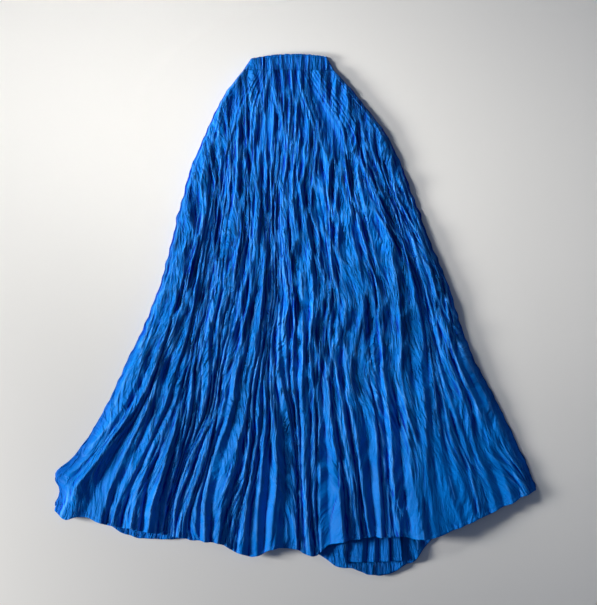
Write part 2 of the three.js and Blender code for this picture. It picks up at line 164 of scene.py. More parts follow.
FOLD = {
    "steepest": 1.25,  # most height for each millimetre of a slope's width
    "clear": 12,  # upper height that a fold keeps whole; a lower one fades into the crinkles
    "deepens_from": 0.3,
    "deepens_to": 0.65,
    "uneven_depth": 0.15,
    "depth_waves": 1.7,
    "strength": 0.8,  # share of its height that a fold has on average along its length
    "strength_swing": 0.55,
    "swing_step": 0.73,
    "swing_start": 0.2,
    "swing_waves": 5,
    "strength_range": (0.25, 1.15),
    "top_share": 0.45,  # share of that at the top, to which the next is added lower down
    "share_below": 0.65,
    "grows": (0.35, 0.8),
}
SIDE_TURN = 0.032  # share of the width over which the front comes down to the back at each side
SMALL_TURN = 0.018  # the same for its crinkles and long creases

# Nets of merging ridges with lens-shaped hollows between them. across: hollows to a fold. down: hollows to
# the length. share: depth as a share of the fold's own width. most: greatest depth. top, hem: share of that
# depth there.
NETS = (
    {"across": 0.6, "down": 10, "share": 0.72, "most": 11, "top": 1, "hem": 0.3, "seed": 3},
    {"across": 1.35, "down": 17, "share": 0.32, "most": 5, "top": 0.75, "hem": 0.6, "seed": 8},
    {"across": 2.1, "down": 5.5, "share": 0.2, "most": 4, "top": 0, "hem": 1, "seed": 21},
)
NET_START = 70  # where the nets' numbers for across and down begin
NET_FADES = (0.45, 0.85)  # shares down the panel between which the nets change from top to hem
NET_SIZE = 64  # cells each way before a net repeats
# How its points lie in the cells: how far they keep from the sides and from the ends, how far every second
# column is moved down, and the most that any column is moved on top of that.
NET_CELL = {"sides": 0.2, "ends": 0.22, "second": 0.5, "any": 0.4}
# How much nearer than the next its point is where a hollow is whole, and the shallowest hollow's share.
NET_HOLLOW = {"whole": 0.75, "least": 0.45}
RIDGE = {"width": 0.16, "full_height": 4}  # how far into a hollow its ridge reaches, and a high ridge
RIDGE_FALL = 2.2  # how fast the back's crinkles fall away from their crests
# How sharply a crest turns: the least widths that count, and how much a turn adds.
TURN = {"least_step": 0.2, "least_span": 0.5, "adds": 0.9}

# How the crests wander to each side, with the shares down the panel between which that sets in and eases.
KINK = {"creases": 3.5, "folds": 5.6, "sets_in": (0, 0.15), "eases": 0.6, "eases_at": (0.55, 0.8)}
# Each of its waves: how close it is across and down, its seed and its share of the way.
KINK_WAVES = ((34, 7, 5, 1), (60, 16, 6, 0.5), (90, 45, 7, 0.25))

TOP_PITCH = 11  # width of a crinkle's unit under the waistband, where the crinkles run straight down
TOP_MIDDLE = 20  # the fold there at the middle
FANNING = (0.05, 0.45)  # shares down the panel between which the crinkles come to follow the folds

# How the crinkles lean onto one another: how far, at the top and further at the hem, and in what waves.
LEAN = {"top": 0.9, "more": 0.7, "grows": (0.2, 0.4), "across": 0.45, "down": 5.5}

# What the cloth's colours follow, its painted shade and painted crest highlight among them: heights that
# count as full depth, how much a net's ridge counts as a crest, and how much less crushed the cloth is near
# the hem.
FULL_DEPTH = {"front": 14, "back": 7, "hem_fold": 4, "band": 4}
EDGE_RELIEF = 0.25
HEM_CRUSH = {"less": 0.45, "over": (0.55, 0.95)}

# The cloth's chart for its fine crinkles, in metres.
CHART_WIDTH = 0.62
FRONT_CHART_LENGTH = 0.972
BACK_CHART_LENGTH = 0.98
FOLD_CHART = (0.11, 0.135)

# Places where the cloth lies in a broad smooth facet: across, v, half width, half length,
# then the shares of the crinkles and of the folds that are left there.
CALM = (
    (0.7, 0.1, 0.05, 0.07, 0.2, 1),
    (0.335, 0.13, 0.045, 0.06, 0.4, 1),
    (0.08, 0.9, 0.025, 0.1, 0.3, 1),
    (0.585, 0.93, 0.02, 0.1, 0.25, 1),
    (0.67, 0.9, 0.02, 0.12, 0.35, 1),
    (0.45, 0.93, 0.03, 0.08, 0.5, 1),
    (0.8, 0.93, 0.04, 0.08, 0.5, 0.7),
    (0.89, 0.89, 0.11, 0.18, 0.6, 0.38),
)

# Long creases that cross the folds, and facets that open out at the hem. Across and down from the middle
# of the waistband's top at the upper end, the same at the lower end, height, width of the soft side on the
# left at the upper and at the lower end, width of the side on the right.
CREASES = (
    (-128, 130, -168, 210, 5, 5, 6, 12),
    (-176, 205, -208, 300, 5, 6, 8, 13),
    (-214, 300, -232, 410, 5, 6, 8, 12),
    (-238, 400, -256, 500, 5, 6, 8, 13),
    (-262, 490, -296, 580, 5, 6, 8, 13),
    (114, 62, 124, 150, 9, 20, 26, 4),
    (50, 140, 62, 285, 6, 14, 14, 5),
    (14, 75, 26, 150, 4, 8, 10, 3),
    (-31, 100, -36, 215, 7, 26, 36, 4),
    (-107, 120, -137, 225, 6, 16, 20, 4),
    (156, 183, 244, 310, 7, 14, 18, 6),
    (-85, 240, -100, 330, 4, 10, 10, 3),
    (20, 290, 62, 400, 5, 10, 10, 3),
    (-172, 300, -192, 420, 8, 20, 26, 4),
    (150, 300, 205, 420, 5, 12, 12, 3),
    (105, 420, 122, 520, 5, 12, 12, 3),
    (-120, 380, -165, 470, 5, 12, 12, 3),
    (-153, 516, -190, 652, 7, 13, 13, 3),
    (-58, 530, -102, 690, 7, 12, 12, 3),
    (-20, 604, -45, 720, 6, 12, 12, 3),
    (51, 604, 118, 787, 7, 12, 12, 3),
    (149, 563, 187, 720, 7, 14, 14, 3),
    (-96, 665, -163, 781, 8, 14, 14, 3),
    (-208, 700, -233, 839, 9, 16, 22, 3),
    (-133, 708, -186, 777, 7, 12, 12, 3),
    (-180, 770, -244, 958, 9, 12, 16, 3),
    (-266, 737, -309, 822, 6, 12, 12, 3),
    (-303, 812, -354, 913, 7, 14, 18, 3),
    (-286, 812, -318, 1010, 14, 6, 38, 5),
    (-260, 845, -278, 1010, 12, 6, 34, 5),
    (-222, 780, -240, 900, 9, 12, 20, 4),
    (-160, 770, -200, 900, 8, 12, 18, 4),
    (-194, 879, -228, 985, 7, 8, 22, 3),
    (-177, 879, -163, 1010, 10, 8, 36, 3.5),
    (-122, 834, -127, 1010, 10, 10, 30, 3.5),
    (-110, 806, -145, 896, 6, 12, 14, 3),
    (-92, 918, -97, 1010, 9, 8, 24, 3),
    (-26, 836, -18, 893, 7, 8, 20, 3),
    (-18, 890, -38, 1010, 8, 18, 18, 3),
    (27, 791, 42, 1010, 7, 12, 12, 3),
    (97, 812, 99, 883, 5, 14, 14, 3),
    (102, 842, 113, 1010, 16, 14, 44, 4),
    (99, 880, 69, 980, 4, 8, 10, 2.5),
    (171, 781, 191, 965, 9, 14, 28, 4),
    (199, 873, 229, 939, 5, 12, 12, 3),
    (249, 792, 262, 860, 5, 12, 12, 3),
    (236, 600, 275, 1010, 23, 12, 36, 170),
    (-138, 397, -156, 496, 7, 12, 14, 3),
    (-127, 300, -139, 397, 5, 10, 10, 3),
    (-214, 418, -233, 510, 6, 12, 14, 4),
    (-173, 486, -200, 600, 7, 12, 14, 4),
    (-200, 600, -252, 693, 7, 12, 14, 4),
    (-231, 536, -286, 645, 8, 14, 18, 5),
    (-290, 540, -297, 640, 6, 10, 14, 5),
    (-122, 540, -142, 596, 6, 10, 12, 3),
    (-142, 596, -178, 700, 7, 12, 14, 3),
    (-196, 590, -238, 700, 7, 12, 14, 4),
    (-428, 822, -462, 879, 5, 9, 9, 8),
    (-443, 893, -470, 945, 8, 10, 14, 9),
    (316, 832, 339, 918, 14, 12, 14, 20),
    (352, 790, 404, 1010, 12, 14, 18, 20),
    (423, 791, 479, 878, 5, 12, 16, 6),
    (428, 802, 453, 847, 4, 20, 20, 3),
)

CREASE_END = 0.25  # share of a crease over which it fades at an end
CREASE_CLEARS = {"folds": 0.7, "crinkles": 0.4}  # shares of them that give way to a long crease

FRONT_WALL = 1.2  # thickness of the front cloth's shell
FRONT_VALLEY = 3.5  # upper side of the front at the side edges; the back's tucks raise it further in
BACK_WALL = 2
# Painted highlight: a paler colour laid along the cloth's sharpest crests.
PAINTED_HIGHLIGHT_COLOR = (0.09, 0.36, 0.9, 1)  # colour of the cloth along its sharpest crests
WEAVE = 1500  # threads' scale in the chart

# The back panel's pressed tucks, as in the solids.
BACK = {
    "tucks": 24,
    "bunching": 0.14,
    "bunching_ends": 0.28,
    "foot": 0.3,
    "margin": 0.05,
    "uneven": 0.3,
    "lowest": 0.5,
    "height_waves": 1.4,
}

# Pleats of the back panel where it shows past the front's hem: across, height, and the widths of its left
# and right slopes as shares of the skirt's width.
BACK_LOBES = (
    (0.165, 4, 0.012, 0.012),
    (0.2, 3.4, 0.014, 0.014),
    (0.232, 3.6, 0.012, 0.012),
    (0.263, 3, 0.011, 0.011),
    (0.607, 13, 0.04, 0.1),
    (0.66, 8.5, 0.006, 0.022),
    (0.718, 5, 0.008, 0.018),
    (0.757, 7, 0.02, 0.012),
)

LOBE_POWER = 0.9  # rounds their crests
BACK_HEM_SHOWS = ((0.13, 0.3), (0.555, 0.8))  # shares of the width where the back's hem shows
BACK_SHOWS = (-1, 5)  # millimetres past the front's hem between which the back opens out
BACK_LIFT = {"hidden": 0.5, "shown": 1.6}  # shares of its crinkles' height

# Those crinkles' layers: how close across, where they start, how close down, seed, height.
BACK_CRINKLES = ((0.8, 4, 7, 17, 0.7), (1.9, 9, 13, 23, 0.4))

# The fold of the back panel that shows below the front's hem.
HEM_FOLD = {
    "left": 0.608,
    "right": 0.722,
    "top_left": 0.615,
    "top_right": 0.71,
    "start": 905,
    "end_left": 1032,
    "end_right": 1047,
    "length": 135,  # about, from its start to its end
    "floor": 5.5,
    "wall": 1.6,
    "crinkles": 0.4,
    "crinkle_waves": (9, 3, 3),  # how close they are across, where they start, and how close down
    "relaxed": 0.5,  # share of its pleats' heights at its top, growing towards its hem
    "shown_adds": 1.3,  # share of them added where it shows
    "shows": (-6, 12),  # millimetres past the front's hem between which it opens out
    "turn": 0.06,  # share of its width over which its crinkles fade at each side
    "sway": (0.02, 5, 1),  # how far its pleats lean, in what waves, from where
}
# Stations across that fold, in shares of its width, and its pleats' heights there.
HEM_FOLD_ACROSS = (0, 0.13, 0.25, 0.34, 0.48, 0.56, 0.75, 0.78, 1)
HEM_FOLD_HEIGHTS = (0.6, 2.2, 3, 0.2, 2.6, 0.3, 3, 0.4, 2.9)

# Where the front lies over that fold, in shares of the width and of the length.
LIFT = {"from": 0.55, "to": 0.78, "ramp": 0.04, "start": 0.84, "end": 0.9, "height": 4.9}

# The waistband, drawn in by its elastic.
BAND = {
    "top_left": 79,
    "top_right": 74,
    "bottom_left": 95,
    "bottom_right": 90,
    "slant": 4,
    "bow": 7,
    "bottom": 27.7,
    "turn": 0.02,  # share of its width over which its gathers fade at each end
    "gathers": 0.55,  # height of the gathers as a share of the crinkles' height under the seam
    "front_under": 3.4,  # heights of the two sides' faces
    "front_top": 4.3,
    "back_top": 3.1,
    "back_under": 1.6,
    "stitch_rows": (0.14, 0.93),  # shares of its height down to its rows of stitches
    "drawn_in": 0.5,  # share of the gathers that the upper row flattens
    "drawn_width": 0.035,
    "edge": 0.2,  # share of the gathers that is left at its upper edge
    "edge_ends": 0.1,
    "padding": 0.8,  # height over the front's face that its two ends have less of
    "at_ends": 0.35,
    "flattened": 0.4,  # share of the gathers on the back, which lies on the surface
    "top_waves": 1.3,  # ups and downs of its upper edge
    "top_waves_across": 40,
    "top_waves_end": 0.25,
}

HEM_TURN = 6  # width of the narrow turned hem
HEM_SWELL = 0.7  # how much it stands up
HEM_BLEND = 0.8  # half the width over which it does so

# The meshes' places across and down, how many of those down crowd together at the hem, and in what last
# share of the way. The front's own numbers of places are settings.
FRONT_HEM_ROWS = (8, 0.014)
BACK_MESH = (301, 141, 14, 0.05)
HEM_FOLD_MESH = (101, 61, 10, 0.1)
BAND_MESH = (361, 31)
HEM_LINE = {"front": 400, "fold": 60}  # places along the lines of the hems

# Places along the rows of stitches, and the shares of the width at which the longest rows begin and end.
STITCH_PLACES = {"front": 900, "fold": 120, "back": 240, "band": 400}
FRONT_STITCHES = (0.006, 0.994)
BAND_STITCHES = (0.015, 0.985)

# The inputs of the stitches' node tree, and their kinds.
STITCH_INPUTS = (
    ("Line", "Geometry"),
    ("Stitch length", "Float"),
    ("Thread radius", "Float"),
    ("Unevenness", "Float"),
    ("Seed", "Int"),
    ("Thread", "Material"),
)
UNEVENNESS = 0.15  # most by which a stitch is smaller than the others
STITCH_HALF = 0.38  # half a stitch, as a share of the way from one to the next
STITCH_LIFT = 0.4  # share of the thread's radius by which it lies above the cloth
STITCH_IN = 0.6  # how far above the turned hem's edge its stitches are

# The stage, in metres.
FLOOR_REACH = 4
FLOOR_HEIGHT = -0.0006  # just under the skirt, so that their faces don't meet
CAMERA = (0.0063, 0.0241, 3.6)  # over the middle of the photo's frame, looking straight down
FRAME_HEIGHT = 1.232  # height of the frame on the floor
SENSOR = 24  # in millimetres
KEY_OVER = (-3, -0.25)  # the main light is over this place
SKY_COLOR = (0.55, 0.68, 1, 1)
SKY_STRENGTH = 0.14

UNEVEN_STEPS = (0.618034, 0.754878)  # turns from one uneven value to the next, which never fall into a beat
SEED_STEP = 7.31  # how far apart the seeds' layers of noise lie


def color_property(name, description, default):
    return FloatVectorProperty(
        name=name, description=description, default=default, min=0, max=1, subtype="COLOR"
    )


class PleatedSkirtSettings(bpy.types.PropertyGroup):
    columns: IntProperty(
        name="Columns", description="Columns of the front cloth's mesh", default=400, min=100, max=420
    )
    rows: IntProperty(
        name="Rows", description="Rows of the front cloth's mesh", default=190, min=60, max=200
    )
    crinkle: FloatProperty(
        name="Crinkle",
        description="Height of the crinkles between the large folds, as a share of the photo's",
        default=1,
        min=0,
        max=1.5,
        subtype="FACTOR",
    )
    stitch_length: FloatProperty(
        name="Stitch length",
        description="From one stitch to the next along the hem and the waistband",
        default=0.004,
        min=0.002,
        max=0.01,
        unit="LENGTH",
    )
    stitch_radius: FloatProperty(
        name="Thread radius",
        description="Half the thickness of the sewing thread",
        default=0.0003,
        min=0.0001,
        max=0.001,
        unit="LENGTH",
    )
    light_height: FloatProperty(
        name="Light height",
        description="Height of the main light, which lights the folds from low on the left",
        default=1,
        min=0.5,
        max=3,
        unit="LENGTH",
    )
    cloth_color: color_property("Cloth", "Colour of the cloth on its crests", (0, 0.185, 0.67))
    # Painted shade: the darker colour given to the cloth in its creases and low places.
    crease_shade_color: color_property("Creases", "Colour of the cloth deep in its creases", (0, 0.025, 0.44))
    floor_color: color_property("Floor", "Colour of the floor under the skirt", (0.92, 0.9, 0.85))


# Shapes.

def smoothstep(x, low, high):
    t = np.clip((x - low) / (high - low), 0, 1)
    return t * t * (3 - 2 * t)


def in_scene(name, data):
    """A new object in the scene that holds the data."""
    made = bpy.data.objects.new(name, data)
    bpy.context.scene.collection.objects.link(made)
    return made


def between(start, end, t):
    """The value that lies a share t of the way from start to end."""
    return start * (1 - t) + end * t


def uneven(index, salt):
    """A value between -1 and 1 that looks random and is the same every time."""
    turn = index * UNEVEN_STEPS[0] + salt * UNEVEN_STEPS[1]
    return 2 * (turn - math.floor(turn)) - 1


def wave(waves, v, index, salt):
    return np.sin(2 * math.pi * (waves * v + uneven(index, salt)))


def smooth_column(xs, ys, at):
    """ys at xs read between its entries along a smooth line."""
    xs = np.asarray(xs, float)
    ys = np.asarray(ys, float)
    slopes = np.diff(ys) / np.diff(xs)
    tangents = np.concatenate(([slopes[0]], (slopes[:-1] + slopes[1:]) / 2, [slopes[-1]]))
    i = np.clip(np.searchsorted(xs, at) - 1, 0, len(xs) - 2)
    span = xs[i + 1] - xs[i]
    t = (at - xs[i]) / span
    bend = t * (1 - t) * span
    start = (tangents[i] - slopes[i]) * (1 - t)
    end = (tangents[i + 1] - slopes[i]) * t
    return ys[i] + (ys[i + 1] - ys[i]) * t + bend * (start - end)


def down_to(v):
    """How far below the top of the waistband a share of the way down the panel is."""
    return SEAM_DOWN + v * (LENGTH - SEAM_DOWN)


def section(name, v):
    return smooth_column(SECTIONS["down"], SECTIONS[name], down_to(v))


def place(u, v, panel):
    """Places on the laid skirt in the shared frame, for shares across and down. panel is front or back."""
    left = section("left", v)
    right = section("right", v)
    reach = section("corner", v) * (1 - np.minimum(1, u / CORNER_WIDTH)) ** 2
    rise = np.where(u < 0.5, section("left_rise", v), section("right_rise", v))
    drop = smooth_column(HEM["across"], HEM[panel], u) * v**HEM_PULL
    hem_ruffle = noise_grid(u * RUFFLE["hem"], v * 0, 61) * smoothstep(v, *RUFFLE["hem_sets_in"])
    side = np.sign(u - 0.5) * (1 - from_ends(u, SIDE_TURN)) * smoothstep(v, *RUFFLE["sides_set_in"])
    side_ruffle = side * noise_grid(u * 0, v * RUFFLE["sides"], 62)
    x = between(-left, right, u) - reach + RUFFLE["height"] * side_ruffle
    y = rise * (2 * u - 1) ** 2 - down_to(v) - drop - RUFFLE["height"] * hem_ruffle
    return x + SHIFT_X, y + SHIFT_Y


def from_ends(u, width):
    """0 at both ends of u's way from 0 to 1, rising to 1 over a width at each."""
    return smoothstep(np.minimum(u, 1 - u), 0, width)


def noise_grid(a, b, seed):
    """Smooth noise between about -1 and 1 at places (a, b)."""
    flat = [noise.noise((p, q, seed * SEED_STEP)) for p, q in zip(a.ravel(), b.ravel())]
    return np.array(flat).reshape(a.shape)


def ridges(a, b, seed):
    """Noise with crisp crests, between 0 in its troughs and 1 on its crests."""
    return np.clip(1 - RIDGE_FALL * np.abs(noise_grid(a, b, seed)), 0, 1)


def net(a, b, seed):
    """How deep each place lies in a net of lens-shaped hollows, 0 on its ridges and up to 1 in a hollow."""
    rng = np.random.default_rng(seed)
    far = 9.0  # further away than any cell's point
    points = rng.random((NET_SIZE, NET_SIZE, 3))
    offsets = NET_CELL["second"] * (np.arange(NET_SIZE) % 2) + NET_CELL["any"] * rng.random(NET_SIZE)
    sides, ends = NET_CELL["sides"], NET_CELL["ends"]
    column = np.floor(a).astype(int)
    first = np.full(a.shape, far)
    second = np.full(a.shape, far)
    own = np.zeros(a.shape)
    for side in (-1, 0, 1):
        there = column + side
        shifted = b + offsets[there % NET_SIZE]
        level = np.floor(shifted).astype(int)
        for step in (-1, 0, 1):
            point = points[there % NET_SIZE, (level + step) % NET_SIZE]
            away_across = there + between(sides, 1 - sides, point[..., 0]) - a
            away_down = level + step + between(ends, 1 - ends, point[..., 1]) - shifted
            away = np.hypot(away_across, away_down)
            nearer = away < first
            second = np.where(nearer, first, np.minimum(second, away))
            own = np.where(nearer, point[..., 2], own)
            first = np.where(nearer, away, first)
    return np.clip((second - first) / NET_HOLLOW["whole"], 0, 1) * between(NET_HOLLOW["least"], 1, own)


def softened(rows):
    """A height grid, rounded along both ways by a share of each place's neighbours."""
    rows[:, 1:-1] = 0.25 * rows[:, :-2] + 0.5 * rows[:, 1:-1] + 0.25 * rows[:, 2:]
    rows[1:-1] = 0.25 * rows[:-2] + 0.5 * rows[1:-1] + 0.25 * rows[2:]
    return rows


def lowest_near(grid, reach=2):
    """The least height within reach of each place."""
    low = grid.copy()
    for shift in range(1, reach + 1):
        low[:, shift:] = np.minimum(low[:, shift:], grid[:, :-shift])
        low[:, :-shift] = np.minimum(low[:, :-shift], grid[:, shift:])
    wide = low.copy()
    for shift in range(1, reach + 1):
        wide[shift:] = np.minimum(wide[shift:], low[:-shift])
        wide[:-shift] = np.minimum(wide[:-shift], low[shift:])
    return wide


def crest_relief(x, z):
    """How sharply the cloth turns over: towards 1 on a crest, 0 in a trough and 0.5 on a slope."""
    turn = np.zeros_like(z)
    slopes = np.diff(z) / np.maximum(np.diff(x), TURN["least_step"])
    span = np.maximum(x[:, 2:] - x[:, :-2], TURN["least_span"])
    turn[:, 1:-1] = 2 * (slopes[:, :-1] - slopes[:, 1:]) / span
    return np.clip(0.5 + TURN["adds"] * turn, 0, 1)


def places(across, down, ends=0, share=0):
    """A grid of shares across and down, with ends of its rows in the last share of the way down."""
    body = np.linspace(0, 1 - share, down - ends)
    rows = np.concatenate((body, np.linspace(1 - share, 1, ends + 1)[1:]))
    return np.meshgrid(np.linspace(0, 1, across), rows)


def shell(name, x, y, upper, lower, uv, relief, depth, crush=None):
    """A closed cloth from an upper grid and its lower heights, which are taken at every second place."""
    rows, columns = upper.shape
    low_rows = np.arange(0, rows, 2)
    low_columns = np.arange(0, columns, 2)
    top = np.arange(rows * columns).reshape(rows, columns)
    bottom = rows * columns + np.arange(len(low_rows) * len(low_columns)).reshape(len(low_rows), -1)
    pick = np.ix_(low_rows, low_columns)
    points = np.concatenate((
        np.stack((x, y, upper), -1).reshape(-1, 3),
        np.stack((x[pick], y[pick], lower[pick]), -1).reshape(-1, 3),
    )) * MM

    def quads(grid):
        return np.stack((grid[:-1, :-1], grid[1:, :-1], grid[1:, 1:], grid[:-1, 1:]), -1).reshape(-1, 4)

    faces = quads(top).tolist() + quads(bottom)[:, ::-1].tolist()
    edges = (
        (top[0], bottom[0]),
        (top[-1][::-1], bottom[-1][::-1]),
        (top[::-1, 0], bottom[::-1, 0]),
        (top[:, -1], bottom[:, -1]),
    )
    for fine, coarse in edges:
        for i in range(len(coarse) - 1):
            a, b, c = fine[2 * i : 2 * i + 3]
            d, e = coarse[i : i + 2]
            faces += [[int(a), int(b), int(d)], [int(b), int(e), int(d)], [int(b), int(c), int(e)]]
    mesh = bpy.data.meshes.new(name)
    mesh.from_pydata(points.tolist(), [], faces)
    work = bmesh.new()
    work.from_mesh(mesh)
    bmesh.ops.recalc_face_normals(work, faces=work.faces)
    work.to_mesh(mesh)
    work.free()

    def both(grid):
        return np.concatenate((grid.ravel(), grid[pick].ravel()))

    across, along = both(uv[0]), both(uv[1])
    layer = mesh.uv_layers.new(name="cloth")
    corner = np.zeros(len(mesh.loops), np.int32)
    mesh.loops.foreach_get("vertex_index", corner)
    layer.data.foreach_set("uv", np.stack((across[corner], along[corner]), -1).ravel())
    crush = np.ones(upper.shape) if crush is None else crush
    for label, values in (("relief", both(relief)), ("depth", both(depth)), ("crush", both(crush))):
        attribute = mesh.attributes.new(label, "FLOAT", "POINT")
        attribute.data.foreach_set("value", values.astype(np.float32))
    mesh.shade_smooth()
    return in_scene(name, mesh)


# The front cloth.

def fold_phase(u, v):
    """For each place of a row, which fold it is on as a running number, how far up that fold it is, and how
    high and wide the fold is. u holds the row's shares across, and v is its share down."""
    table = np.array(FOLDS)
    crests = np.array([smooth_column(LEVELS, row[: len(LEVELS)], v) for row in FOLDS]) / 100
    crests = np.maximum.accumulate(crests + np.arange(len(crests)) * 1e-5)
    valleys = np.concatenate((
        [crests[0] / 2],
        crests[:-1] + (crests[1:] - crests[:-1]) * table[:-1, SHADE],
        [(crests[-1] + 1) / 2],
    ))
    width = float(section("left", v) + section("right", v))
    room = width * np.minimum(crests - valleys[:-1], valleys[1:] - crests)
    deepens = smoothstep(v, FOLD["deepens_from"], FOLD["deepens_to"])
    upper = table[:, UPPER] ** 2 / FOLD["clear"]
    full = between(upper, table[:, LOWER], deepens) * float(section("depth", v))
    swing = np.array([wave(FOLD["depth_waves"], v, i, 3) for i in range(len(FOLDS))])
    height = np.minimum(FOLD["steepest"] * room, full * (1 + FOLD["uneven_depth"] * swing))
    stations = np.concatenate(([0.0], np.stack((valleys[:-1], crests), -1).ravel(), [valleys[-1], 1.0]))
    numbers = np.concatenate(([-0.5], np.arange(2 * len(FOLDS) + 1) / 2, [len(FOLDS) + 0.5]))
    phase = np.interp(u, stations, numbers)
    index = np.clip(np.floor(phase).astype(int), 0, len(FOLDS) - 1)
    climb = np.where((phase < 0) | (phase > len(FOLDS)), 0, 1 - np.abs(2 * (phase - np.floor(phase)) - 1))
    pitch = width * (valleys[1:] - valleys[:-1])
    return phase, climb, height[index], pitch[index]


def top_flow(x):
    """The running number of the crinkles that run straight down from the waistband."""
    return TOP_MIDDLE + (x - SHIFT_X) / TOP_PITCH


def top_chart(x):
    """The chart's across where the cloth runs straight down from the waistband."""
    return CHART_WIDTH / 2 + (x - SHIFT_X) * MM


def slanted(flow, v):
    """The running number with the crinkles' slants, which lean them onto one another."""
    lean = LEAN["top"] + LEAN["more"] * smoothstep(v, *LEAN["grows"])
    return flow + lean * noise_grid(flow * LEAN["across"], v * LEAN["down"], 13)


def crinkles(flow, v, pitch):
    """Height of the nets of crinkles, and how near each place is to one of their ridges."""
    height = np.zeros(v.shape)
    edge = np.zeros(v.shape)
    for layer in NETS:
        stays = between(layer["top"], layer["hem"], smoothstep(v, *NET_FADES))
        hollow = net(flow * layer["across"] + NET_START, v * layer["down"] + NET_START, layer["seed"])
        deep = np.minimum(layer["share"] * pitch, layer["most"]) * stays
        height += deep * (1 - hollow)
        on_ridge = np.exp(-((hollow / RIDGE["width"]) ** 2))
        edge = np.maximum(edge, on_ridge * np.clip(deep / RIDGE["full_height"], 0, 1))
    return height, edge


def long_creases(x, y, wobble):
    """Height of the long creases, and how near each place is to one of them."""
    across = x - SHIFT_X
    down = SHIFT_Y - y
    height = np.zeros(x.shape)
    near = np.zeros(x.shape)
    for x0, down0, x1, down1, tall, soft0, soft1, right in CREASES:
        length = math.hypot(x1 - x0, down1 - down0)
        along = ((across - x0) * (x1 - x0) + (down - down0) * (down1 - down0)) / length**2
        off = ((across - x0) * (down1 - down0) - (down - down0) * (x1 - x0)) / length + wobble
        soft = between(soft0, soft1, np.clip(along, 0, 1))
        taper = smoothstep(along, 0, CREASE_END) * soft / max(soft0, soft1)
        if down1 < LENGTH:
            taper = taper * (1 - smoothstep(along, 1 - CREASE_END, 1))
        here = taper * np.clip(np.where(off < 0, 1 + off / soft, 1 - off / right), 0, 1)
        height = np.maximum(height, tall * here)
        near = np.maximum(near, here)
    return height, near


def front_floor(u, v):
    """Height of the front's upper side in its valleys."""
    over_tucks = FRONT_VALLEY + section("tuck", v) * from_ends(u, SIDE_TURN)
    over_fold = smoothstep(u, LIFT["from"], LIFT["from"] + LIFT["ramp"])
    over_fold = over_fold * (1 - smoothstep(u, LIFT["to"] - LIFT["ramp"], LIFT["to"]))
    over_fold = over_fold * smoothstep(v, LIFT["start"], LIFT["end"])
    return over_tucks + LIFT["height"] * over_fold


def turned_hem(share, length):
    """1 on the narrow turned hem and 0 above it, for shares of the way down a piece of that length."""
    return smoothstep(share, 1 - (HEM_TURN + HEM_BLEND) / length, 1 - (HEM_TURN - HEM_BLEND) / length)


def kinks(u, v):
    """How the crests wander to each side at each place, less towards the hem."""
    waves = [share * noise_grid(u * across, v * down, seed) for across, down, seed, share in KINK_WAVES]
    return sum(waves) * (1 - KINK["eases"] * smoothstep(v, *KINK["eases_at"]))


def calm_shares(u, v):
    """The shares of the crinkles and of the folds that the calm places leave."""
    crinkles_left = np.ones(u.shape)
    folds_left = np.ones(u.shape)
    for across, at, half_width, half_length, crinkle_share, fold_share in CALM:
        near = np.exp(-(((u - across) / half_width) ** 2) - ((v - at) / half_length) ** 2)
        crinkles_left *= 1 - (1 - crinkle_share) * near
        folds_left *= 1 - (1 - fold_share) * near
    return crinkles_left, folds_left


def front_heights(u, v, crinkle):
    """Places of the front's upper side over a grid, with the numbers that its chart and colours follow."""
    width = section("left", v) + section("right", v)
    inner = from_ends(u, SIDE_TURN)
    wander = kinks(u, v)
    bent = u + KINK["folds"] * wander * inner * smoothstep(v, *KINK["sets_in"]) / width
    rows = [fold_phase(across, down) for across, down in zip(bent, v[:, 0])]
    phase, climb, height, pitch = (np.array(part) for part in zip(*rows))
    calm, folds_left = calm_shares(u, v)
    fold = np.floor(phase) * FOLD["swing_step"] + FOLD["swing_start"]
    swing = noise_grid(fold, v * FOLD["swing_waves"], 9)
    strength = np.clip(FOLD["strength"] + FOLD["strength_swing"] * swing, *FOLD["strength_range"])
    growth = FOLD["top_share"] + FOLD["share_below"] * smoothstep(v, *FOLD["grows"])
    folds = folds_left * height * climb * strength * growth * inner
    x, y = place(u, v, "front")
    fans = smoothstep(v, *FANNING)
    straight_flow = between(top_flow(x), phase, fans)
    flow = slanted(straight_flow, v)
    small, edge = crinkles(flow, v, between(TOP_PITCH, pitch, fans))
    close = from_ends(u, SMALL_TURN)
    small *= calm * crinkle * close
    long, near = long_creases(x, y, KINK["creases"] * wander)
    z = front_floor(u, v) + folds * (1 - CREASE_CLEARS["folds"] * near)
    z += small * (1 - CREASE_CLEARS["crinkles"] * near) + long * close + HEM_SWELL * turned_hem(v, LENGTH)
    chart = between(top_chart(x), CHART_WIDTH * u, fans)
    chart += (flow - straight_flow) * CHART_WIDTH / len(FOLDS)
    return x, y, z, chart, edge * calm, calm


def build_front_cloth(settings):
    u, v = places(settings.columns + 1, settings.rows + 1, *FRONT_HEM_ROWS)
    x, y, z, chart, edge, calm = front_heights(u, v, settings.crinkle)
    valleys = front_floor(u, v)
    lower = np.maximum(lowest_near(z), valleys) - FRONT_WALL
    depth = np.clip((z - valleys) / FULL_DEPTH["front"], 0, 1)
    relief = np.clip(crest_relief(x, z) + EDGE_RELIEF * edge, 0, 1)
    crush = calm * (1 - HEM_CRUSH["less"] * smoothstep(v, *HEM_CRUSH["over"]))
    return shell("front_cloth", x, y, z, lower, (chart, v * FRONT_CHART_LENGTH), relief, depth, crush)


# The back cloth and its fold.

def spread(share, v):
    crowd = BACK["bunching"] * (1 - smoothstep(v, 0, BACK["bunching_ends"]))
    return share - crowd * np.sin(2 * math.pi * share)


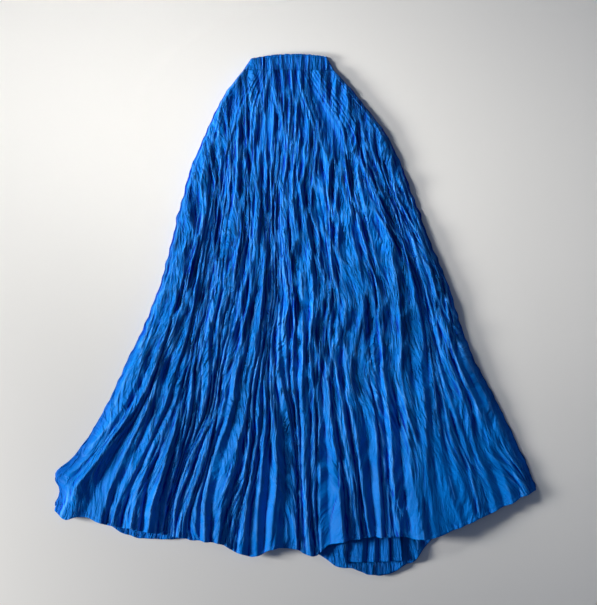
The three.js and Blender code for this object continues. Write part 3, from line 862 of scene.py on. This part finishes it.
def back_tucks(u, v):
    """Height of the pressed tucks at the row's shares across."""
    pitch = (1 - 2 * BACK["margin"]) / BACK["tucks"]
    foot = BACK["foot"] * pitch
    stations = [0.0]
    heights = [0.0]
    tuck = float(section("tuck", v))
    for i in range(BACK["tucks"]):
        crest = BACK["margin"] + pitch * (i + 0.5 + BACK["uneven"] * uneven(i, 5) * math.cos(math.pi * v))
        swing = 0.5 + 0.5 * wave(BACK["height_waves"], v, i, 6)
        height = tuck * (BACK["lowest"] + (1 - BACK["lowest"]) * swing)
        stations += [crest - foot, crest, crest + foot]
        heights += [0.0, height, 0.0]
    stations.append(1.0)
    heights.append(0.0)
    across = spread(np.array(stations), v)
    tucks = np.interp(u, across, heights) * from_ends(u, SIDE_TURN)
    return tucks, np.interp(u, across, np.arange(len(stations)))


def front_hem_line():
    u = np.linspace(0, 1, HEM_LINE["front"])
    return place(u, np.ones(u.shape), "front")


def build_back_cloth(settings):
    u, v = places(*BACK_MESH)
    rows = [back_tucks(across, down) for across, down in zip(u, v[:, 0])]
    tucks, phase = (np.array(part) for part in zip(*rows))
    x, y = place(u, v, "back")
    past = np.interp(x, *front_hem_line()) - y
    fold_x, fold_y = hem_fold_line()
    under = (x > fold_x[0]) & (x < fold_x[-1])
    past = np.where(under, np.minimum(past, np.interp(x, fold_x, fold_y) - y), past)
    shown = smoothstep(past, *BACK_SHOWS)
    lobes = np.zeros(u.shape)
    for at, height, left, right in BACK_LOBES:
        climb = np.clip(1 - np.abs(u - at) / np.where(u < at, left, right), 0, 1)
        lobes = np.maximum(lobes, height * climb**LOBE_POWER)
    crisp = sum(
        height * ridges(phase * across + start, v * down, seed)
        for across, start, down, seed, height in BACK_CRINKLES
    )
    lift = settings.crinkle * crisp * from_ends(u, SIDE_TURN)
    low = np.minimum(tucks + BACK_LIFT["hidden"] * lift, section("tuck", v))
    high = np.maximum(low, lobes + BACK_LIFT["shown"] * lift)
    form = softened(between(low, high, shown))
    swell = HEM_SWELL * turned_hem(v, LENGTH) * shown
    z = BACK_WALL + form + swell
    lower = np.maximum(lowest_near(z) - BACK_WALL - swell, 0)
    uv = (u * CHART_WIDTH, v * BACK_CHART_LENGTH)
    depth = np.clip(form / FULL_DEPTH["back"], 0, 1)
    return shell("back_cloth", x, y, z, lower, uv, crest_relief(x, z), depth)


def fold_grid(u, t):
    """Places on the hem's fold, for shares across it and down it."""
    left = between(HEM_FOLD["top_left"], HEM_FOLD["left"], t)
    right = between(HEM_FOLD["top_right"], HEM_FOLD["right"], t)
    across = between(left, right, u)
    down = between(HEM_FOLD["start"], between(HEM_FOLD["end_left"], HEM_FOLD["end_right"], u), t)
    x = between(-SECTIONS["left"][-1], SECTIONS["right"][-1], across)
    y = -down + SECTIONS["right_rise"][-1] * (2 * across - 1) ** 2
    return x + SHIFT_X, y + SHIFT_Y


def hem_fold_line():
    u = np.linspace(0, 1, HEM_LINE["fold"])
    return fold_grid(u, np.ones(u.shape))


def build_hem_fold(settings):
    u, t = places(*HEM_FOLD_MESH)
    x, y = fold_grid(u, t)
    shown = smoothstep(np.interp(x, *front_hem_line()) - y, *HEM_FOLD["shows"])
    share = between(HEM_FOLD["relaxed"], 1, t) + HEM_FOLD["shown_adds"] * shown
    far, waves, start = HEM_FOLD["sway"]
    leaning = u + far * np.sin(waves * t + start)
    form = np.interp(leaning, HEM_FOLD_ACROSS, HEM_FOLD_HEIGHTS) * share
    across, begins, down = HEM_FOLD["crinkle_waves"]
    small = HEM_FOLD["crinkles"] * ridges(u * across + begins, t * down, 31)
    small *= from_ends(u, HEM_FOLD["turn"])
    form = softened(form + settings.crinkle * small)
    swell = HEM_SWELL * turned_hem(t, HEM_FOLD["length"])
    z = HEM_FOLD["floor"] + HEM_FOLD["wall"] + form + swell
    lower = np.maximum(lowest_near(z) - HEM_FOLD["wall"] - swell, HEM_FOLD["floor"])
    uv = (u * FOLD_CHART[0], t * FOLD_CHART[1])
    depth = np.clip(form / FULL_DEPTH["hem_fold"], 0, 1)
    crush = np.full(u.shape, HEM_FOLD["crinkles"])
    return shell("back_hem_fold_cloth", x, y, z, lower, uv, crest_relief(x, z), depth, crush)


# The waistband.

def band_place(u, t):
    left = between(BAND["top_left"], BAND["bottom_left"], t)
    right = between(BAND["top_right"], BAND["bottom_right"], t)
    x = between(-left, right, u)
    top = BAND["bow"] * (1 - (2 * u - 1) ** 2) - BAND["slant"] * (1 - u)
    y = top * (1 - t) - BAND["bottom"] * t
    return x + SHIFT_X, y + SHIFT_Y


def build_band(settings, outward):
    """One side of the casing. Its gathers run on into the panel's crinkles."""
    u, t = places(*BAND_MESH)
    x, y = band_place(u, t)
    v = -(1 - t) * BAND["bottom"] / (LENGTH - SEAM_DOWN)
    flow = slanted(top_flow(x), v)
    gathers = crinkles(flow, v, TOP_PITCH)[0] * BAND["gathers"] * settings.crinkle
    top_waves = noise_grid(u * BAND["top_waves_across"], t * 0, 41)
    y = y + BAND["top_waves"] * top_waves * (1 - smoothstep(t, 0, BAND["top_waves_end"]))
    edge = between(BAND["edge"], 1, smoothstep(t, 0, BAND["edge_ends"]))
    row = np.exp(-(((t - BAND["stitch_rows"][0]) / BAND["drawn_width"]) ** 2))
    ends = from_ends(u, BAND["turn"])
    uv = (top_chart(x), v * FRONT_CHART_LENGTH)
    depth = np.clip(gathers / FULL_DEPTH["band"], 0, 1)
    if outward > 0:
        puffed = gathers * edge * (1 - BAND["drawn_in"] * row)
        z = BAND["front_top"] + (BAND["padding"] + puffed) * between(BAND["at_ends"], 1, ends)
        lower = np.full(u.shape, BAND["front_under"])
        return shell("waistband_front_cloth", x, y, z, lower, uv, crest_relief(x, z), depth)
    z = BAND["back_top"] - BAND["flattened"] * (1 - edge)
    lower = np.clip(BAND["back_under"] - BAND["flattened"] * gathers * ends, 0, BACK_WALL)
    return shell("waistband_back_cloth", x, y, z, lower, uv, crest_relief(x, -lower), depth)


# Nodes and sewing.

def add(tree, kind, inputs=(), **settings):
    """A new node with its settings. Its inputs take plain values or other nodes' outputs."""
    node = tree.nodes.new(kind)
    for name, value in settings.items():
        setattr(node, name, value)
    for key, value in dict(inputs).items():
        if hasattr(value, "links"):
            tree.links.new(value, node.inputs[key])
        else:
            node.inputs[key].default_value = value
    return node


def stitch_tree():
    """Geometry Nodes that lay stitches end to end along a line."""
    tree = bpy.data.node_groups.new("stitches_along_line", "GeometryNodeTree")
    for name, kind in STITCH_INPUTS:
        tree.interface.new_socket(name, in_out="INPUT", socket_type="NodeSocket" + kind)
    tree.interface.new_socket("Stitches", in_out="OUTPUT", socket_type="NodeSocketGeometry")
    start = add(tree, "NodeGroupInput").outputs
    pitch = start["Stitch length"]
    radius = start["Thread radius"]
    half = add(tree, "ShaderNodeMath", {0: pitch, 1: STITCH_HALF}, operation="MULTIPLY")
    size = add(tree, "ShaderNodeCombineXYZ", {"X": radius, "Y": radius, "Z": half.outputs[0]})
    least = add(tree, "ShaderNodeMath", {0: 1, 1: start["Unevenness"]}, operation="SUBTRACT")
    inputs = {2: least.outputs[0], 3: 1, "Seed": start["Seed"]}
    vary = add(tree, "FunctionNodeRandomValue", inputs, data_type="FLOAT")
    curve = add(tree, "GeometryNodeMeshToCurve", {"Mesh": start["Line"]})
    inputs = {"Curve": curve.outputs["Curve"], "Length": pitch}
    points = add(tree, "GeometryNodeCurveToPoints", inputs, mode="LENGTH")
    ball = add(tree, "GeometryNodeMeshUVSphere", {"Segments": 8, "Rings": 5, "Radius": 1})
    stitches = add(tree, "GeometryNodeInstanceOnPoints", {
        "Points": points.outputs["Points"],
        "Instance": ball.outputs["Mesh"],
        "Rotation": points.outputs["Rotation"],
        "Scale": size.outputs["Vector"],
    })
    inputs = {"Instances": stitches.outputs["Instances"], "Scale": vary.outputs[1]}
    scaled = add(tree, "GeometryNodeScaleInstances", inputs)
    real = add(tree, "GeometryNodeRealizeInstances", {"Geometry": scaled.outputs["Instances"]})
    inputs = {"Geometry": real.outputs["Geometry"], "Material": start["Thread"]}
    thread = add(tree, "GeometryNodeSetMaterial", inputs)
    add(tree, "NodeGroupOutput", {"Stitches": thread.outputs["Geometry"]})
    return tree


def sew(name, points, tree, material, settings, seed):
    """Stitches along a line of points, as a plain mesh."""
    line = bpy.data.meshes.new(name + "_line")
    line.from_pydata([tuple(p) for p in points], [(i, i + 1) for i in range(len(points) - 1)], [])
    carrier = in_scene(name + "_line", line)
    modifier = carrier.modifiers.new("stitches", "NODES")
    modifier.node_group = tree
    values = {
        "Stitch length": settings.stitch_length,
        "Thread radius": settings.stitch_radius,
        "Unevenness": UNEVENNESS,
        "Seed": seed,
        "Thread": material,
    }
    for item in tree.interface.items_tree:
        if item.in_out == "INPUT" and item.name in values:
            modifier[item.identifier] = values[item.name]
    bpy.context.view_layer.update()
    evaluated = carrier.evaluated_get(bpy.context.evaluated_depsgraph_get())
    mesh = bpy.data.meshes.new_from_object(evaluated)
    mesh.name = name
    carrier.modifiers.remove(modifier)
    bpy.data.objects.remove(carrier)
    if not mesh.polygons:
        raise RuntimeError(f"{name}: no stitches were made")
    mesh.shade_smooth()
    return in_scene(name, mesh)


def surface_line(cloth, x, y, lift):
    """Points over a cloth's upper side at places x, y, lifted off it by some metres."""
    high = 200  # over any part of the skirt
    points = []
    for a, b in zip(x, y):
        hit, where, _, _ = cloth.ray_cast(Vector((a, b, high)) * MM, Vector((0, 0, -1)))
        if hit:
            points.append(where + Vector((0, 0, lift)))
    if len(points) < 2:
        raise RuntimeError(f"{cloth.name}: no line for its stitches")
    return points


def stitch_rows():
    """Each row of stitches: its seed, name, cloth, slot and places."""
    hem = 1 - (HEM_TURN + STITCH_IN) / LENGTH

    def along(panel, low, high):
        u = np.linspace(low, high, STITCH_PLACES[panel])
        return place(u, np.full(u.shape, hem), panel)

    rows = [(1, "front_hem_stitches", "front_cloth", "front_cloth", along("front", *FRONT_STITCHES))]
    u = np.linspace(0, 1, STITCH_PLACES["fold"])[2:-2]
    fold = fold_grid(u, np.full(len(u), 1 - (HEM_TURN + STITCH_IN) / HEM_FOLD["length"]))
    rows.append((2, "back_hem_fold_stitches", "back_hem_fold_cloth", "back_cloth", fold))
    for number, shown in enumerate(BACK_HEM_SHOWS):
        name = f"back_hem_stitches_{number + 1}"
        rows.append((3 + number, name, "back_cloth", "back_cloth", along("back", *shown)))
    for number, t in enumerate(BAND["stitch_rows"]):
        band = band_place(np.linspace(*BAND_STITCHES, STITCH_PLACES["band"]), t)
        name = f"waistband_stitches_{number + 1}"
        rows.append((7 + number, name, "waistband_front_cloth", "band_cloth", band))
    return rows


# Materials.

def new_material(name):
    """A material with its node tree and its shader."""
    material = bpy.data.materials.new(name)
    material.use_nodes = True
    return material, material.node_tree, material.node_tree.nodes["Principled BSDF"]


def toned(color, share):
    """A colour made darker or lighter by a share, with its alpha."""
    return (*(min(1, c * share) for c in color), 1)


def cloth_material(name, settings, tone):
    """Crinkled cobalt cotton sateen, with weave, fine crush, painted shade in creases and painted crest
    highlights.
    """
    material, tree, shader = new_material(name)
    shader.inputs["Sheen Weight"].default_value = 0.04
    shader.inputs["Sheen Roughness"].default_value = 0.4
    shader.inputs["Sheen Tint"].default_value = (0.05, 0.35, 1, 1)
    shader.inputs["Specular IOR Level"].default_value = 0.06
    chart = add(tree, "ShaderNodeUVMap", uv_map="cloth").outputs[0]
    relief, depth, crush = (
        add(tree, "ShaderNodeAttribute", attribute_name=label).outputs["Fac"]
        for label in ("relief", "depth", "crush")
    )

    def stretched(scale, where):
        return add(tree, "ShaderNodeMapping", {"Vector": where, "Scale": scale}).outputs[0]

    def noise_node(scale, detail, roughness):
        inputs = {"Vector": stretched(scale, chart), "Scale": 1, "Detail": detail, "Roughness": roughness}
        return add(tree, "ShaderNodeTexNoise", inputs)

    def times(a, b):
        return add(tree, "ShaderNodeMath", {0: a, 1: b}, operation="MULTIPLY").outputs[0]

    def mixed(kind, factor, a, b):
        inputs = {0: factor, 6: a, 7: b}
        return add(tree, "ShaderNodeMix", inputs, data_type="RGBA", blend_type=kind).outputs[2]

    def ranged(value, source, target):
        """The value with the range from source's first to its second stretched onto target's."""
        keys = ("Value", "From Min", "From Max", "To Min", "To Max")
        return add(tree, "ShaderNodeMapRange", zip(keys, (value, *source, *target))).outputs[0]

    fine = noise_node((680, 60, 1), 4, 0.6).outputs["Fac"]
    patches = noise_node((22, 5, 1), 2, 0.5).outputs["Fac"]
    shift = noise_node((240, 55, 1), 3, 0.6).outputs["Color"]
    inputs = {0: shift, 1: (0.006, 0.02, 0), 2: chart}
    jagged = add(tree, "ShaderNodeVectorMath", inputs, operation="MULTIPLY_ADD").outputs[0]

    def creased(scale):
        """Ridges of a net of crinkles, as high as the cloth is crushed."""
        inputs = {"Vector": stretched(scale, jagged), "Scale": 1}
        cells = add(tree, "ShaderNodeTexVoronoi", inputs, feature="DISTANCE_TO_EDGE")
        return times(ranged(cells.outputs["Distance"], (0, 0.35), (1, 0)), crush)

    def threads(direction):
        """The weave's threads that lie side by side along a direction of the chart."""
        inputs = {"Vector": chart, "Scale": WEAVE, "Distortion": 0.6}
        return add(tree, "ShaderNodeTexWave", inputs, bands_direction=direction).outputs["Fac"]

    # Painted shade: the colour goes towards the crease shade colour where the cloth turns into a crease or
    # lies low.
    creases = ranged(relief, (0.1, 0.55), (1, 0))
    low = ranged(depth, (0, 0.5), (0.35, 0))
    shade = add(tree, "ShaderNodeMath", {0: creases, 1: low}, operation="MAXIMUM").outputs[0]
    color = mixed("MIX", shade, toned(settings.cloth_color, tone), toned(settings.crease_shade_color, tone))
    # Painted highlight: a paler colour along the sharpest crests, in patches.
    painted_highlight = times(ranged(relief, (0.68, 0.95), (0, 0.6)), ranged(patches, (0.35, 0.6), (0.3, 1)))
    color = mixed("MIX", painted_highlight, color, PAINTED_HIGHLIGHT_COLOR)
    dye = ranged(patches, (0.3, 0.7), (0.82, 1.12))
    tint = add(tree, "ShaderNodeCombineColor", {"Red": dye, "Green": dye, "Blue": dye}).outputs[0]
    tree.links.new(mixed("MULTIPLY", 1, color, tint), shader.inputs["Base Color"])
    tree.links.new(ranged(fine, (0.3, 0.7), (0.42, 0.58)), shader.inputs["Roughness"])
    below = {}
    for height, strength, distance in (
        (creased((115, 13, 1)), 1, 0.004),
        (creased((250, 30, 1)), 1, 0.002),
        (fine, 0.5, 0.0006),
        (threads("X"), 0.12, 0.0001),
        (threads("Y"), 0.12, 0.0001),
    ):
        inputs = {"Height": height, "Strength": strength, "Distance": distance, **below}
        below = {"Normal": add(tree, "ShaderNodeBump", inputs).outputs[0]}
    tree.links.new(below["Normal"], shader.inputs["Normal"])
    return material


def thread_material(settings):
    """Matching sewing thread with a twist along it."""
    material, tree, shader = new_material("thread")
    where = add(tree, "ShaderNodeTexCoord").outputs["Object"]
    inputs = {"Vector": where, "Scale": 900}
    twist = add(tree, "ShaderNodeTexWave", inputs, bands_direction="DIAGONAL").outputs["Fac"]
    inputs = {0: twist, 6: toned(settings.cloth_color, 0.8), 7: toned(settings.cloth_color, 1.25)}
    color = add(tree, "ShaderNodeMix", inputs, data_type="RGBA").outputs[2]
    normal = add(tree, "ShaderNodeBump", {"Height": twist, "Strength": 0.3, "Distance": 0.0001}).outputs[0]
    tree.links.new(color, shader.inputs["Base Color"])
    tree.links.new(normal, shader.inputs["Normal"])
    shader.inputs["Roughness"].default_value = 0.45
    return material


def floor_material(settings):
    """Plain matt backdrop with a faint unevenness."""
    material, tree, shader = new_material("floor")
    where = add(tree, "ShaderNodeTexCoord").outputs["Object"]
    cloudy = add(tree, "ShaderNodeTexNoise", {"Vector": where, "Scale": 3, "Detail": 3}).outputs["Fac"]
    inputs = {0: cloudy, 6: toned(settings.floor_color, 0.97), 7: toned(settings.floor_color, 1)}
    color = add(tree, "ShaderNodeMix", inputs, data_type="RGBA").outputs[2]
    tree.links.new(color, shader.inputs["Base Color"])
    shader.inputs["Roughness"].default_value = 0.85
    return material


# Operators.

def dress(cloth, material, nodes):
    cloth.data.materials.append(material)
    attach(cloth, "root")
    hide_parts(*nodes)


def sewn(piece):
    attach(piece, "root")


class SKIRT_OT_front(bpy.types.Operator):
    """Build the front cloth with its pleats, crinkles and narrow hem"""

    bl_idname = "skirt.front"
    bl_label = "Front cloth"

    def execute(self, context):
        settings = context.scene.pleated_skirt
        cloth = build_front_cloth(settings)
        dress(cloth, cloth_material("front_cloth", settings, 1), ["front_panel"])
        return {"FINISHED"}


class SKIRT_OT_back(bpy.types.Operator):
    """Build the back cloth, and the fold of it that shows at the hem"""

    bl_idname = "skirt.back"
    bl_label = "Back cloth"

    def execute(self, context):
        settings = context.scene.pleated_skirt
        material = cloth_material("back_cloth", settings, 0.92)
        dress(build_back_cloth(settings), material, ["back_panel"])
        dress(build_hem_fold(settings), material, ["back_hem_fold"])
        return {"FINISHED"}


class SKIRT_OT_band(bpy.types.Operator):
    """Build the elastic waistband's two sides with their gathers"""

    bl_idname = "skirt.band"
    bl_label = "Waistband"

    def execute(self, context):
        settings = context.scene.pleated_skirt
        material = cloth_material("band_cloth", settings, 0.95)
        dress(build_band(settings, 1), material, ["waistband_front"])
        dress(build_band(settings, -1), material, ["waistband_back"])
        return {"FINISHED"}


class SKIRT_OT_sewing(bpy.types.Operator):
    """Sew the hems and the waistband with matching thread"""

    bl_idname = "skirt.sewing"
    bl_label = "Sewing"

    def execute(self, context):
        settings = context.scene.pleated_skirt
        objects = context.scene.objects
        context.view_layer.update()
        tree = stitch_tree()
        thread = thread_material(settings)
        for seed, name, cloth, slot, (x, y) in stitch_rows():
            if cloth not in objects:
                raise RuntimeError(f"build {cloth} before its sewing")
            line = surface_line(objects[cloth], x, y, settings.stitch_radius * STITCH_LIFT)
            sewn(sew(name, line, tree, thread, settings, seed))
        return {"FINISHED"}


def area_light(name, spot, target, size, energy, color, spread):
    """A square lamp at a spot, which shines towards a target within an angle of spread degrees."""
    data = bpy.data.lights.new(name, "AREA")
    data.size = size
    data.energy = energy
    data.color = color
    data.spread = math.radians(spread)
    lamp = in_scene(name, data)
    lamp.location = spot
    lamp.rotation_euler = (Vector(target) - Vector(spot)).to_track_quat("-Z", "Y").to_euler()
    return lamp


class SKIRT_OT_stage(bpy.types.Operator):
    """Set up the floor, the light and the camera"""

    bl_idname = "skirt.stage"
    bl_label = "Stage"

    def execute(self, context):
        settings = context.scene.pleated_skirt
        scene = context.scene
        mesh = bpy.data.meshes.new("floor")
        far = FLOOR_REACH
        corners = ((-far, -far), (far, -far), (far, far), (-far, far))
        mesh.from_pydata([(x, y, FLOOR_HEIGHT) for x, y in corners], [], [(0, 1, 2, 3)])
        mesh.materials.append(floor_material(settings))
        floor = in_scene("floor", mesh)
        key_spot = (*KEY_OVER, settings.light_height)
        lights = (
            area_light("key_light", key_spot, (0.02, -0.1, 0), 0.7, 128, (1, 0.985, 0.96), 180),
            area_light("top_light", (-2, 1, 1.3), (0.2, 0.28, 0), 0.5, 2.2, (1, 0.99, 0.97), 32),
        )
        world = bpy.data.worlds.new("studio")
        world.use_nodes = True
        sky = world.node_tree.nodes["Background"]
        sky.inputs["Color"].default_value = SKY_COLOR
        sky.inputs["Strength"].default_value = SKY_STRENGTH
        scene.world = world
        camera_data = bpy.data.cameras.new("camera")
        camera_data.sensor_fit = "VERTICAL"
        camera_data.sensor_height = SENSOR
        camera_data.lens = SENSOR * CAMERA[2] / FRAME_HEIGHT
        camera = in_scene("camera", camera_data)
        camera.location = CAMERA
        scene.camera = camera
        scene.view_settings.view_transform = "Standard"
        return {"FINISHED"}


class SKIRT_PT_panel(bpy.types.Panel):
    bl_label = "Pleated maxi skirt"
    bl_idname = "SKIRT_PT_panel"
    bl_space_type = "VIEW_3D"
    bl_region_type = "UI"
    bl_category = "Skirt"

    def draw(self, context):
        settings = context.scene.pleated_skirt
        for name in settings.bl_rna.properties.keys():
            if name not in ("rna_type", "name"):
                self.layout.prop(settings, name)
        for operator in OPERATORS:
            self.layout.operator(operator.bl_idname)


OPERATORS = (SKIRT_OT_front, SKIRT_OT_back, SKIRT_OT_band, SKIRT_OT_sewing, SKIRT_OT_stage)
CLASSES = (PleatedSkirtSettings, *OPERATORS, SKIRT_PT_panel)


def register():
    for cls in CLASSES:
        bpy.utils.register_class(cls)
    bpy.types.Scene.pleated_skirt = PointerProperty(type=PleatedSkirtSettings)


def unregister():
    del bpy.types.Scene.pleated_skirt
    for cls in reversed(CLASSES):
        bpy.utils.unregister_class(cls)


def main():
    register()
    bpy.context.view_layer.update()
    bpy.ops.skirt.front()
    bpy.ops.skirt.back()
    bpy.ops.skirt.band()
    bpy.ops.skirt.sewing()
    bpy.ops.skirt.stage()


if __name__ == "__main__":
    main()
